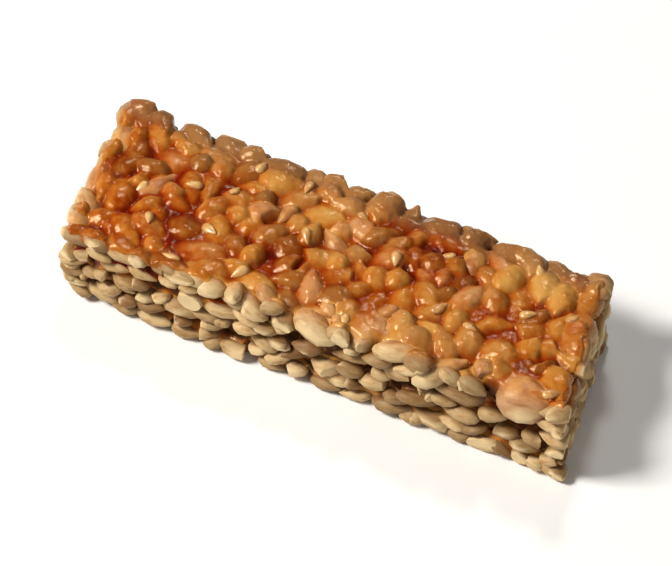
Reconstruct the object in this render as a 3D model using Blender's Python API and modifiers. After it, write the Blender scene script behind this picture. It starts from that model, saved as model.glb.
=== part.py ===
"""A hand-cut bar of seed brittle: hulled sunflower kernels set in caramel.

The bar is one solid. A core with the slanted plan of a knife-cut piece carries a course of kernels
over its top and stacked courses of kernels round its four sides. All of it is fused into one skin,
sliced upright along the four knife cuts, and flat below, where the warm slab lay on its tray.

Metres, +Z up. The origin is under the middle of the bar, on the surface that it rests on. The bar
lies along X, and its front side faces -Y.
"""

import math
import random

import bmesh
import bpy
from mathutils import Euler, Matrix, Vector

# The slab between its knife cuts
FRONT_LENGTH = 0.088
BACK_LENGTH = 0.0875
LEFT_WIDTH = 0.0325
RIGHT_WIDTH = 0.0305
THICKNESS = 0.0145
END_LEAN = 0.0055
CORNER_RADIUS = 0.003
CORNER_SEGMENTS = 3
ROUND_PROFILE = 0.5

# One hulled sunflower kernel
KERNEL_LENGTH = 0.0083
KERNEL_WIDTH = 0.0043
KERNEL_DEPTH = 0.0026
KERNEL_SUBDIVISIONS = 2
KERNEL_TAPER = 0.45
RIM_FULLNESS = 0.7
SIZE_SPREAD = 0.14

# The course of kernels over the top
TOP_ROWS = 6
TOP_COLUMNS = 13
TOP_SINK = 0.001
TOP_TILT = math.radians(15)
TOP_EDGE_INSET = 0.0022
TOP_JITTER = 0.0011

# The courses of kernels round the cut sides
SIDE_COURSES = 5
SIDE_PITCH = 0.0066
SIDE_INSET = 0.0021
SIDE_JITTER = 0.0006
SIDE_TURN = math.radians(32)
SIDE_TILT = math.radians(7)
CORNER_INSETS = (0.0026, 0.0036)

# The core that the kernels are set in, and the skin over everything
CORE_INSET = 0.0022
CORE_DROP = 0.0016
BASE_DEPTH = 0.002
CUT_HEADROOM = 0.01
CUTTER_MARGIN = 2.0
VOXEL = 0.00075
MOST_TRIANGLES = 9200
CARAMEL_COLOUR = (0.402, 0.133, 0.030, 1.0)
CARAMEL_ROUGHNESS = 0.28
SEED = 11

EIGHTH_TURN = math.pi / 4
CORNER_SIGNS = ((-0.5, -0.5), (0.5, -0.5), (0.5, 0.5), (-0.5, 0.5))


def clear_scene():
    """Remove the objects that the file opened with."""
    for item in list(bpy.data.objects):
        bpy.data.objects.remove(item)


def new_collection(name):
    """Add a collection to the scene."""
    made = bpy.data.collections.new(name)
    bpy.context.scene.collection.children.link(made)
    return made


def plan_point(along, across):
    """Plan position for shares of the length and of the width, each from -0.5 to 0.5.

    The four sides are straight, no two of them parallel, and both ends lean to -X at the back.
    """
    length = FRONT_LENGTH + (BACK_LENGTH - FRONT_LENGTH) * (across + 0.5)
    width = LEFT_WIDTH + (RIGHT_WIDTH - LEFT_WIDTH) * (along + 0.5)
    return Vector((along * length - across * END_LEAN, across * width, 0.0))


def kernel_matrix(place, turn, tilt_side, tilt_end, size):
    """Where one kernel goes: turned about Z, tilted about its own axes, and scaled."""
    rotation = Euler((tilt_side, tilt_end, turn)).to_matrix().to_4x4()
    return Matrix.Translation(place) @ rotation @ Matrix.Scale(size, 4)


def add_kernel(shape, matrix):
    """Add one kernel: a flattened ball with a full rim, blunt at -X and drawn in at +X."""
    made = bmesh.ops.create_icosphere(shape, subdivisions=KERNEL_SUBDIVISIONS, radius=1.0)
    for vert in made["verts"]:
        along = (vert.co.x + 1.0) / 2.0
        narrow = 1.0 - KERNEL_TAPER * along**2
        vert.co.x *= KERNEL_LENGTH / 2.0
        vert.co.y *= KERNEL_WIDTH / 2.0 * narrow
        vert.co.z = math.copysign(abs(vert.co.z) ** RIM_FULLNESS, vert.co.z)
        vert.co.z *= KERNEL_DEPTH / 2.0 * narrow
        vert.co = matrix @ vert.co


def kernel_size(dice):
    """Natural spread of the kernels' size."""
    return 1.0 + dice.uniform(-SIZE_SPREAD, SIZE_SPREAD)


def add_top_course(shape, dice):
    """Kernels in loose staggered rows over the top, turned any way and a little tilted."""
    usable_length = 1.0 - 2.0 * TOP_EDGE_INSET / FRONT_LENGTH
    usable_width = 1.0 - 2.0 * TOP_EDGE_INSET / LEFT_WIDTH
    for row in range(TOP_ROWS):
        across = (row / (TOP_ROWS - 1) - 0.5) * usable_width
        stagger = 0.25 if row % 2 else -0.25
        for column in range(TOP_COLUMNS):
            share = (column + 0.5 + stagger) / TOP_COLUMNS
            place = plan_point((share - 0.5) * usable_length, across)
            place.x += dice.uniform(-TOP_JITTER, TOP_JITTER)
            place.y += dice.uniform(-TOP_JITTER, TOP_JITTER)
            place.z = THICKNESS - TOP_SINK + dice.uniform(-TOP_JITTER, TOP_JITTER) / 2.0
            turn = dice.uniform(-math.pi, math.pi)
            tilt_side = dice.uniform(-TOP_TILT, TOP_TILT)
            tilt_end = dice.uniform(-TOP_TILT, TOP_TILT)
            add_kernel(shape, kernel_matrix(place, turn, tilt_side, tilt_end, kernel_size(dice)))


def side_place(start, end, distance, inset):
    """A point at a distance along a wall of the plan and an inset behind it."""
    direction = (end - start).normalized()
    inward = Vector((-direction.y, direction.x, 0.0))
    return start + direction * distance + inward * inset


def add_side_kernel(shape, dice, place, height, wall_turn):
    """One kernel of a side course, lying nearly flat with its long side mostly along the wall."""
    place = place.copy()
    place.z = height + dice.uniform(-SIDE_JITTER, SIDE_JITTER)
    turn = wall_turn + dice.gauss(0.0, SIDE_TURN) + math.pi * dice.randint(0, 1)
    tilt_side = dice.uniform(-SIDE_TILT, SIDE_TILT)
    tilt_end = dice.uniform(-SIDE_TILT, SIDE_TILT)
    add_kernel(shape, kernel_matrix(place, turn, tilt_side, tilt_end, kernel_size(dice)))


def add_side_courses(shape, dice):
    """Stacked courses of kernels along each of the four cut sides, with one at each corner."""
    corners = [plan_point(*signs) for signs in CORNER_SIGNS]
    walls = list(zip(corners, corners[1:] + corners[:1]))
    for course in range(SIDE_COURSES):
        height = (course + 0.5) * THICKNESS / SIDE_COURSES
        for start, end in walls:
            run = end - start
            wall_turn = math.atan2(run.y, run.x)
            count = round((run.length - 2.0 * CORNER_RADIUS) / SIDE_PITCH)
            step = (run.length - 2.0 * CORNER_RADIUS) / count
            offset = 0.25 if course % 2 else 0.75
            for index in range(count):
                distance = CORNER_RADIUS + (index + offset) * step
                distance += dice.uniform(-SIDE_JITTER, SIDE_JITTER)
                inset = SIDE_INSET + dice.uniform(-SIDE_JITTER, SIDE_JITTER)
                place = side_place(start, end, distance, inset)
                add_side_kernel(shape, dice, place, height, wall_turn)
            corner = side_place(start, end, dice.uniform(*CORNER_INSETS), dice.uniform(*CORNER_INSETS))
            add_side_kernel(shape, dice, corner, height, wall_turn - EIGHTH_TURN)


def is_upright(edge):
    """Whether an edge of a plan block runs up a corner and not round the top or the bottom."""
    return abs(edge.verts[0].co.z - edge.verts[1].co.z) > THICKNESS / 2.0


def add_plan_block(shape, inset, low, high):
    """A block with the slab's plan, inset from it, and with its upright edges rounded."""
    made = bmesh.ops.create_cube(shape, size=1.0)
    for vert in made["verts"]:
        along = math.copysign(0.5 - inset / FRONT_LENGTH, vert.co.x)
        across = math.copysign(0.5 - inset / LEFT_WIDTH, vert.co.y)
        height = high if vert.co.z > 0.0 else low
        vert.co = plan_point(along, across) + Vector((0.0, 0.0, height))
    edges = {edge for vert in made["verts"] for edge in vert.link_edges}
    upright = [edge for edge in edges if is_upright(edge)]
    bmesh.ops.bevel(
        shape,
        geom=upright,
        offset=CORNER_RADIUS,
        segments=CORNER_SEGMENTS,
        profile=ROUND_PROFILE,
        affect="EDGES",
    )


def packed_mesh():
    """The core and all its kernels in one mesh, still overlapping each other."""
    dice = random.Random(SEED)
    shape = bmesh.new()
    add_plan_block(shape, CORE_INSET, -BASE_DEPTH, THICKNESS - CORE_DROP)
    add_top_course(shape, dice)
    add_side_courses(shape, dice)
    mesh = bpy.data.meshes.new("packed_kernels")
    shape.to_mesh(mesh)
    shape.free()
    return mesh


def islands(shape):
    """The connected pieces of a mesh, as sets of vertices."""
    left = set(shape.verts)
    found = []
    while left:
        reached = {left.pop()}
        front = list(reached)
        while front:
            vert = front.pop()
            for edge in vert.link_edges:
                other = edge.other_vert(vert)
                if other not in reached:
                    reached.add(other)
                    front.append(other)
        left -= reached
        found.append(reached)
    return found


def keep_outer_skin(mesh):
    """Drop the skins of pockets closed inside the bar, and keep the outer one."""
    shape = bmesh.new()
    shape.from_mesh(mesh)
    found = sorted(islands(shape), key=len)
    inner = [vert for island in found[:-1] for vert in island]
    bmesh.ops.delete(shape, geom=inner, context="VERTS")
    shape.to_mesh(mesh)
    shape.free()


def evaluated_mesh(item):
    """The object's mesh with its modifiers applied."""
    graph = bpy.context.evaluated_depsgraph_get()
    return bpy.data.meshes.new_from_object(item.evaluated_get(graph))


def fused_skin(collection):
    """One closed skin over the core and the kernels."""
    item = bpy.data.objects.new("packed_kernels", packed_mesh())
    collection.objects.link(item)
    remesh = item.modifiers.new("one skin", "REMESH")
    remesh.mode = "VOXEL"
    remesh.voxel_size = VOXEL
    skin = evaluated_mesh(item)
    bpy.data.objects.remove(item)
    keep_outer_skin(skin)
    return skin


def thin_to(item, most_triangles):
    """Bring the skin down to its triangle count, keeping the form."""
    item.data.calc_loop_triangles()
    share = most_triangles / len(item.data.loop_triangles)
    thin = item.modifiers.new("fewer triangles", "DECIMATE")
    thin.decimate_type = "COLLAPSE"
    thin.ratio = min(1.0, share)
    thin.use_collapse_triangulate = True


def as_cutter(item):
    """Keep a cutter out of the finished model."""
    item.hide_render = True
    item.display_type = "WIRE"
    return item


def add_knife_block(collection):
    """The block between the four knife cuts, reaching past the top and the base of the slab."""
    shape = bmesh.new()
    add_plan_block(shape, 0.0, -BASE_DEPTH / 2.0, THICKNESS + CUT_HEADROOM)
    mesh = bpy.data.meshes.new("knife_block")
    shape.to_mesh(mesh)
    shape.free()
    block = bpy.data.objects.new("knife_block", mesh)
    collection.objects.link(block)
    return as_cutter(block)


def add_base_cutter(collection):
    """The block that takes off everything below the tray's surface."""
    bpy.ops.mesh.primitive_cube_add(size=1.0)
    cutter = bpy.context.active_object
    cutter.name = "base_cutter"
    for owner in list(cutter.users_collection):
        owner.objects.unlink(cutter)
    collection.objects.link(cutter)
    cutter.scale = (FRONT_LENGTH * CUTTER_MARGIN, LEFT_WIDTH * CUTTER_MARGIN, THICKNESS)
    cutter.location = (0.0, 0.0, -THICKNESS / 2.0)
    return as_cutter(cutter)


def boolean(item, name, operation, cutter):
    """Add a Boolean with a cutter to the object's modifiers."""
    cut = item.modifiers.new(name, "BOOLEAN")
    cut.operation = operation
    cut.solver = "EXACT"
    cut.object = cutter


def centre_plan(item):
    """Move the mesh so that its box is centred on the origin in plan."""
    xs = [vert.co.x for vert in item.data.vertices]
    ys = [vert.co.y for vert in item.data.vertices]
    middle = Vector(((min(xs) + max(xs)) / 2.0, (min(ys) + max(ys)) / 2.0, 0.0))
    item.data.transform(Matrix.Translation(-middle))


def caramel_material():
    """Amber caramel over the kernels."""
    made = bpy.data.materials.new("amber_caramel")
    made.use_nodes = True
    shader = made.node_tree.nodes["Principled BSDF"]
    shader.inputs["Base Color"].default_value = CARAMEL_COLOUR
    shader.inputs["Roughness"].default_value = CARAMEL_ROUGHNESS
    shader.inputs["Metallic"].default_value = 0.0
    return made


def apply_modifiers(item):
    """Make the object's mesh what its modifiers give."""
    bpy.context.view_layer.update()
    item.data = evaluated_mesh(item)
    item.modifiers.clear()


def add_seed_bar(parts, cutters):
    """The bar itself: fused, sliced along the knife cuts, thinned, cut flat below and centred."""
    item = bpy.data.objects.new("seed_bar", fused_skin(parts))
    parts.objects.link(item)
    boolean(item, "knife cuts", "INTERSECT", add_knife_block(cutters))
    apply_modifiers(item)
    thin_to(item, MOST_TRIANGLES)
    boolean(item, "flat base", "DIFFERENCE", add_base_cutter(cutters))
    apply_modifiers(item)
    centre_plan(item)
    item.data.materials.clear()
    item.data.materials.append(caramel_material())
    return item


def main():
    """Build the bar."""
    clear_scene()
    parts = new_collection("seed_brittle_bar")
    cutters = new_collection("cutters")
    add_seed_bar(parts, cutters)


main()
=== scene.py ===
import math

import bpy
import numpy as np
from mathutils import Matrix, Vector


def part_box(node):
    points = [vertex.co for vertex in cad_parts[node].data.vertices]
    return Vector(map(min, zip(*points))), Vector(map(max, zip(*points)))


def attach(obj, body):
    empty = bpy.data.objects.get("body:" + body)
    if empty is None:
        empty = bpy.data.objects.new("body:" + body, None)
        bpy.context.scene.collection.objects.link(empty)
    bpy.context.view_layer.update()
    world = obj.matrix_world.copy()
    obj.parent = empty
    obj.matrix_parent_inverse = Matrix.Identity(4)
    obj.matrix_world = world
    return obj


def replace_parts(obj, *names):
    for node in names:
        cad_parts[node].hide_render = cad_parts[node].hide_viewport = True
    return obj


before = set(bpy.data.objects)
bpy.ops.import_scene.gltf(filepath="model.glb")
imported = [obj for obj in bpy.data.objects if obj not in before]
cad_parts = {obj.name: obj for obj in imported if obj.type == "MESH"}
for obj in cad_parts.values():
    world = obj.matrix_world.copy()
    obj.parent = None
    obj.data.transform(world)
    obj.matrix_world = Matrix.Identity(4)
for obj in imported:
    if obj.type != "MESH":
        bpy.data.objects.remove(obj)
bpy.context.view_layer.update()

mm = 0.001
turnDegree = math.pi / 180
nearZero = 1e-9
barBody = "root"
barLow, barHigh = (np.array(corner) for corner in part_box("seed_bar"))
barSize = barHigh - barLow
barHeight = barSize[2]
print("frame loaded, bar of", np.round(barSize / mm, 1), "mm")


# The bar's plan: four straight knife cuts, no two of them parallel
barCut = {
    "endLean": 5.5 * mm,  # both ends lean to -X at the back
    "backShorter": 0.5 * mm,
    "rightNarrower": 2.0 * mm,
    "cornerLoss": 1.3 * mm,  # what worn corners take off the length of the box
    "overhang": 0.55 * mm,  # kernels stand this far out past the knife
    "wornCorner": 0.8 * mm,
    "cornerRoom": 1.3 * mm,
}
frontLength = barSize[0] - barCut["endLean"] + barCut["cornerLoss"] - 2 * barCut["overhang"]
middleWidth = barSize[1] - barCut["rightNarrower"] / 2 - 2 * barCut["overhang"]


def planPoint(along, across):
    # a share of the length and of the width, each -0.5 to 0.5, gives a place in plan:
    # the length shrinks a little to the back, the width to the right, and x slides back with the lean
    length = frontLength - barCut["backShorter"] * (across + 0.5)
    width = middleWidth - barCut["rightNarrower"] * along
    return np.stack([along * length - across * barCut["endLean"], across * width], axis=-1)


cutCorners = planPoint(np.array([-0.5, 0.5, 0.5, -0.5]), np.array([-0.5, -0.5, 0.5, 0.5]))
cutRuns = np.roll(cutCorners, -1, axis=0) - cutCorners
cutLengths = np.linalg.norm(cutRuns, axis=1)
cutNormals = np.stack([cutRuns[:, 1], -cutRuns[:, 0]], axis=1) / cutLengths[:, None]
cutTurns = np.arctan2(cutRuns[:, 1], cutRuns[:, 0])
cornerNormals = cutNormals + np.roll(cutNormals, 1, axis=0)
cornerNormals /= np.linalg.norm(cornerNormals, axis=1)[:, None]
planeNormals = np.concatenate([cutNormals, cornerNormals])
planeOffsets = (planeNormals * np.tile(cutCorners, (2, 1))).sum(axis=1)
planeOffsets[4:] -= barCut["wornCorner"]


def cutDistances(points):
    # how far each point stands outside each of the four knife cuts and four worn corners, negative inside
    return points[..., :2] @ planeNormals.T - planeOffsets


def atCorner(place):
    # whether a kernel there would stand out at a worn corner
    return cutDistances(place)[4:].max() > -barCut["cornerRoom"]


def ripple(points, wavelength, seed):
    # smooth unevenness, about -1 to 1: a mean of sine waves running in scattered directions
    dice = np.random.default_rng(seed)
    waves = 7
    directions = dice.normal(size=(waves, 3))
    directions /= np.linalg.norm(directions, axis=1)[:, None]
    rates = 2 * math.pi / wavelength * dice.uniform(0.7, 1.4, waves)
    phases = dice.uniform(0, 2 * math.pi, waves)
    total = np.zeros(points.shape[:-1])
    for direction, rate, phase in zip(directions, rates, phases):
        total += np.sin(points @ direction * rate + phase)
    return total / math.sqrt(waves)


def riseAt(points):
    # how much higher the slab lies along its back edge, in bumps, and at the back left corner
    back = cutDistances(points)[..., 2] / mm
    bumps = np.maximum(ripple(points, packing["edgeWavelength"], 41) + packing["edgeMore"], 0)
    fromCorner = np.linalg.norm(points[..., :2] - cutCorners[3], axis=-1)
    rise = packing["edgeRise"] * bumps * easeBetween(*packing["edgeBand"], back)
    return rise + packing["cornerRise"] * np.exp(-((fromCorner / packing["cornerReach"]) ** 2))


def easeBetween(low, high, value):
    # 0 below low, 1 above high, and a smooth S between
    share = np.clip((value - low) / (high - low), 0, 1)
    return share * share * (3 - 2 * share)


# One kernel: a flat teardrop, blunt at one end and pointed at the other
kernelForm = {
    "length": 9.0 * mm,
    "width": 4.6 * mm,
    "depth": 3.3 * mm,
    "around": 10,
    "rings": 6,
    "blunt": 0.74,
    "fullness": 0.78,
    "squareness": 2.2,
    "plumpness": 0.85,
    "bend": 0.12,
    "lumps": 0.05,
    "brokenShare": 0.36,
    "snapAt": (-0.2, 0.65),
    "unbroken": 2.0,
    "snapLean": 0.5,
    "coatedShrink": 0.12 * mm,  # so that no bump of a coated kernel comes through its film
    "wellInside": 4.0 * mm,
    "innerShrink": 0.3 * mm,
    "sharpFrom": 52 * turnDegree,
    "cutLean": 0.10,  # its cut face leans by up to this slope
    "flush": (-0.05 * mm, 0.5 * mm),  # how far a cut kernel stands out of the knife's plane
    "cutEdge": 0.05 * mm,
    "wholeShare": 0.5,  # kernels the knife pushed aside, left whole
    "wholeReach": 0.7 * mm,
    "glazedOver": (0, 0.4 * mm, 1.8 * mm, 0),  # the glaze runs this far over each edge of the top
    "paleTone": 0.85,  # tones above this are rosy, and only the top has them
    "trayLift": 0.12 * mm,  # the film of caramel under the lowest kernels
}
kernelSize = np.array([kernelForm["length"], kernelForm["width"], kernelForm["depth"]])


def breadthAt(share):
    # half breadth along the kernel, 0 at both ends: a sine drawn towards the blunt end and made full
    return np.sin(math.pi * np.clip(share, 0, 1) ** kernelForm["blunt"]) ** kernelForm["fullness"]


def turnedAxes(turns, tiltSide, tiltEnd):
    # the kernel's long, wide and deep axes in the bar's frame: tilted about its length and its width,
    # then turned
    zero, one = np.zeros_like(turns), np.ones_like(turns)

    def spin(angle, rows):
        c, s = np.cos(angle), np.sin(angle)
        parts = {"c": c, "s": s, "-s": -s, "0": zero, "1": one}
        return np.stack([np.stack([parts[k] for k in row.split()], axis=1) for row in rows], axis=1)

    aboutX = spin(tiltSide, ("1 0 0", "0 c -s", "0 s c"))
    aboutY = spin(tiltEnd, ("c 0 s", "0 1 0", "-s 0 c"))
    aboutZ = spin(turns, ("c -s 0", "s c 0", "0 0 1"))
    return np.transpose(aboutZ @ aboutY @ aboutX, (0, 2, 1))


def makeKernels(dice, places, turns, tilts, half, course):
    # kernels as named arrays, each with dice of its own; a broken one ends at its snap, a share of its
    # length, and a whole one has its snap past its tip
    count = len(turns)
    broken = dice.uniform(0, 1, count) < kernelForm["brokenShare"]
    return {
        "centre": places,
        "axes": turnedAxes(turns, tilts[:, 0], tilts[:, 1]),
        "half": half,
        "course": np.full(count, course),
        "tone": dice.uniform(0, 1, count) * (1 if course == topCourse else kernelForm["paleTone"]),
        "dice": dice.uniform(0, 1, (count, 6)),
        "snap": np.where(broken, dice.uniform(*kernelForm["snapAt"], count), kernelForm["unbroken"]),
        "snapLean": dice.uniform(-kernelForm["snapLean"], kernelForm["snapLean"], count),
        "bareAnyway": np.zeros(count, dtype=bool),
    }


def joinKernels(batches):
    return {key: np.concatenate([batch[key] for batch in batches]) for key in batches[0]}


def bendAt(along, batch):
    # how far aside the kernel's middle line runs, as a share of its half width: a parabola
    return (batch["dice"][None, :, 4] - 0.5) * 2 * kernelForm["bend"] * (1 - along**2)


def kernelDistance(points, batch):
    # distance from points to each kernel: in the kernel's own frame, with its breadth evened out
    # by the breadth formula, this is the usual estimate for an ellipsoid, k0 (k0 - 1) / k1, and a
    # broken one ends at its snapped plane
    local = np.einsum("pnk,njk->pnj", points[:, None, :] - batch["centre"][None], batch["axes"])
    half = batch["half"][None]
    along = np.clip(local[..., 0] / half[..., 0], -0.985, 0.985)
    narrow = breadthAt((along + 1) / 2) / np.sqrt(1 - along**2)
    local[..., 1] -= bendAt(along, batch) * half[..., 1]
    snapAt = batch["snap"] + batch["snapLean"] * local[..., 1] / half[..., 1]
    pastSnap = local[..., 0] - snapAt * half[..., 0]
    local[..., 1:] /= np.clip(narrow, 0.6, 1.6)[..., None]
    k0 = np.linalg.norm(local / half, axis=-1)
    k1 = np.linalg.norm(local / half**2, axis=-1)
    return np.maximum(k0 * (k0 - 1) / np.maximum(k1, nearZero), pastSnap)


# How the kernels lie in the pressed slab
packing = {
    "seed": 23,
    "courses": 4,
    "sizeSpread": 0.15,
    "sizes": ((1.0, 1500), (0.78, 900), (0.55, 700)),  # share of full size, and how many tries
    "closeness": 0.82,  # neighbours in a course may overlap by this much
    "topCloseness": 0.68,
    "wallCloseness": 0.62,
    "sheetMargin": 3.0 * mm,  # the slab went on past the knife cuts
    "bandDepth": 5.5 * mm,  # inner courses are only filled this far in
    "tilt": 6 * turnDegree,
    "topTilt": 11 * turnDegree,
    "levelJitter": 0.3 * mm,
    "topDip": 0.5 * mm,  # how far the rolled kernels lie below the highest
    "topFilm": 0.3 * mm,
    "topWave": 0.45 * mm,
    "topWavelength": 24 * mm,
    "edgeRise": 0.7 * mm,
    "edgeWavelength": 9 * mm,
    "edgeMore": 0.3,  # more bump than dip
    "edgeBand": (-4.5, -1.0),  # where the rise sets in, in mm from the back cut
    "cornerRise": 1.1 * mm,
    "cornerReach": 12 * mm,
    "wallSpread": 22 * turnDegree,  # kernels at a cut lie roughly along it
    "endOnShare": 0.2,  # and some are met end on
    "smallShare": 0.22,
    "smallSize": 0.68,
    "wallStep": 0.88,
    "wallGap": 0.30 * mm,
    "wallCut": (-0.05, 0.5),  # how much of its half depth the knife takes off a kernel at the cut
    "mostOutside": 0.4 * mm,
    "tipsPast": 0.45 * mm,  # how far past a worn corner a kernel's end may reach
    "chipHalf": 3.0 * mm,  # kernels shorter than twice this have come off
    "chipInside": 0.6 * mm,  # where their middle lies this near a cut
}
topCourse = packing["courses"] - 1


def threeCircles(x, y, turn, size):
    # a kernel seen from above stands as three circles along its length
    reach = kernelForm["length"] * size * np.array([-0.29, 0.0, 0.28])
    radius = kernelForm["width"] * size * np.array([0.40, 0.48, 0.36])
    return np.stack([x + reach * math.cos(turn), y + reach * math.sin(turn), radius], axis=1)


def hasRoom(mine, circles, closeness):
    gaps = np.hypot(mine[:, None, 0] - circles[None, :, 0], mine[:, None, 1] - circles[None, :, 1])
    return not (gaps < (mine[:, None, 2] + circles[None, :, 2]) * closeness).any()


def lineCut(dice, wall, circles, found):
    # kernels laid one after another along a knife cut, each turned a little and sliced a little
    along, inward = cutRuns[wall] / cutLengths[wall], -cutNormals[wall]
    travel = dice.uniform(-2.5, 0.0) * mm
    while travel < cutLengths[wall]:
        share = dice.uniform(1 - packing["sizeSpread"], 1 + packing["sizeSpread"])
        share *= packing["smallSize"] if dice.random() < packing["smallShare"] else 1.0
        spread = dice.normal(0, packing["wallSpread"])
        spread += math.pi / 2 if dice.random() < packing["endOnShare"] else 0.0
        halfLong, halfWide = kernelForm["length"] * share / 2, kernelForm["width"] * share / 2
        shown = math.hypot(halfLong * math.cos(spread), halfWide * math.sin(spread))
        deep = math.hypot(halfLong * math.sin(spread), halfWide * math.cos(spread))
        travel += shown * packing["wallStep"]
        inset = deep * (1 - dice.uniform(*packing["wallCut"]))
        place = cutCorners[wall] + along * travel + inward * inset
        turn = cutTurns[wall] + spread + math.pi * dice.integers(2)
        mine = threeCircles(place[0], place[1], turn, share)
        if hasRoom(mine, circles, packing["wallCloseness"]) and not atCorner(place):
            circles = np.concatenate([circles, mine])
            found.append((place[0], place[1], turn, share))
        travel += shown * packing["wallStep"] + dice.uniform(0, packing["wallGap"])
    return circles


def packCourse(dice, course):
    # rows are laid along the four cuts, then kernels are thrown at what is left, and each that finds
    # room stays
    full = course in (0, topCourse)
    closeness = packing["topCloseness"] if course == topCourse else packing["closeness"]
    margin = packing["sheetMargin"]
    halfX, halfY = barSize[0] / 2 + margin, barSize[1] / 2 + margin
    circles = np.zeros((0, 3))
    found = []
    for wall in range(4):
        circles = lineCut(dice, wall, circles, found)
    for size, tries in packing["sizes"]:
        xs, ys = dice.uniform(-halfX, halfX, tries), dice.uniform(-halfY, halfY, tries)
        turns = dice.uniform(-math.pi, math.pi, tries)
        grown = dice.uniform(1 - packing["sizeSpread"], 1 + packing["sizeSpread"], tries) * size
        for x, y, turn, share in zip(xs, ys, turns, grown):
            outside = cutDistances(np.array([x, y])).max()
            if outside > packing["mostOutside"] or (outside < -packing["bandDepth"] and not full):
                continue
            if atCorner(np.array([x, y])):
                continue
            mine = threeCircles(x, y, turn, share)
            if hasRoom(mine, circles, closeness):
                circles = np.concatenate([circles, mine])
                found.append((x, y, turn, share))
    return np.array(found)


def layCourse(dice, course):
    # the lowest course lies on the tray, the highest was rolled level, and those between keep even steps
    found = packCourse(dice, course)
    count = len(found)
    top = course == topCourse
    tilt = packing["topTilt"] if top else packing["tilt"]
    tilts = np.clip(dice.normal(0, tilt, (count, 2)), -2 * tilt, 2 * tilt)
    half = kernelSize / 2 * found[:, 3:4] * dice.uniform(0.90, 1.10, (count, 3))
    places = np.column_stack([found[:, :2], np.zeros(count)])
    batch = makeKernels(dice, places, found[:, 2], tilts, half, course)
    rise = np.sqrt(((batch["axes"][:, :, 2] * half) ** 2).sum(axis=1))
    lowest = kernelForm["trayLift"] + kernelForm["depth"] / 2
    step = (barHeight - kernelForm["depth"] / 2 - packing["topDip"] - lowest) / topCourse
    if top:
        wave = packing["topWave"] * ripple(places, packing["topWavelength"], packing["seed"])
        dip = np.abs(dice.normal(0, packing["topDip"], count)) + np.abs(wave)
        level = barHeight - packing["topFilm"] - rise - dip + riseAt(places)
    elif course == 0:
        level = kernelForm["trayLift"] + rise
    else:
        level = lowest + course * step + dice.normal(0, packing["levelJitter"], count)
    batch["centre"][:, 2] = level
    return batch


packDice = np.random.default_rng(packing["seed"])
kernels = joinKernels([layCourse(packDice, course) for course in range(packing["courses"])])
print("kernels packed:", len(kernels["tone"]))


# Gaps in the front cut where kernels have dropped out: x and reach along it, lowest and highest, in mm
notch = {
    "places": ((39, 4.2, 7.0, 11.6), (6, 2.6, 7.4, 11.4), (-23, 2.2, 7.4, 11.4), (-8, 2.4, 3.6, 7.4)),
    "depth": 3.4 * mm,
}

# One large rosy kernel at the front right corner, over the first of them
rosyKernel = {
    "fromCorner": 7.2 * mm,
    "inward": 2.85 * mm,
    "half": (5.4 * mm, 3.6 * mm, 2.3 * mm),
    "turn": 8 * turnDegree,
    "tilts": (30 * turnDegree, -4 * turnDegree),
    "proud": -0.8 * mm,
    "clearance": 0.5 * mm,
    "keepClear": 2.2 * mm,  # no small kernel is tucked in nearer than this
    "tone": 0.95,
}
rosyPlace = cutCorners[1] - cutRuns[0] / cutLengths[0] * rosyKernel["fromCorner"]
rosyPlace = rosyPlace - cutNormals[0] * rosyKernel["inward"]


def inNotch(points):
    # whether each point lies in one of the gaps
    inGap = np.zeros(len(points), dtype=bool)
    x, z = points[:, 0] / mm, points[:, 2] / mm
    for middle, reach, low, high in notch["places"]:
        inGap |= (np.abs(x - middle) < reach) & (z > low) & (z < high)
    return inGap & (cutDistances(points)[:, 0] > -notch["depth"])


def addRosyKernel(dice):
    # it takes the place of the kernels of the top that it would touch
    half = np.array([rosyKernel["half"]])
    centre = np.append(rosyPlace, barHeight - half[0, 2] + rosyKernel["proud"])
    turn, tilts = np.array([cutTurns[0] + rosyKernel["turn"]]), np.array([rosyKernel["tilts"]])
    rosy = makeKernels(dice, centre[None], turn, tilts, half, topCourse)
    rosy["tone"][:] = rosyKernel["tone"]
    rosy["snap"][:] = kernelForm["unbroken"]
    rosy["bareAnyway"][:] = True
    clear = kernelForm["width"] / 2 - rosyKernel["clearance"]
    far = kernelDistance(kernels["centre"], rosy)[:, 0] > clear
    kept = (far | (kernels["course"] < topCourse)) & ~inNotch(kernels["centre"])
    return joinKernels([{key: value[kept] for key, value in kernels.items()}, rosy])


kernels = addRosyKernel(packDice)


def stillHeld(batch):
    # kernels whose ends would stand out past a worn corner have come off, and so has every chip on a cut
    reach = batch["axes"][:, 0, :] * batch["half"][:, :1]
    ends = np.stack([batch["centre"] - reach, batch["centre"] + reach], axis=1)
    atCut = cutDistances(batch["centre"])[:, :4].max(axis=1) > -packing["chipInside"]
    chip = batch["half"][:, 0] < packing["chipHalf"]
    return (cutDistances(ends)[..., 4:].max(axis=(1, 2)) < packing["tipsPast"]) & ~(chip & atCut)


kept = stillHeld(kernels)
kernels = {key: value[kept] for key, value in kernels.items()}
rosy = {key: value[-1:] for key, value in kernels.items()}


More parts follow.
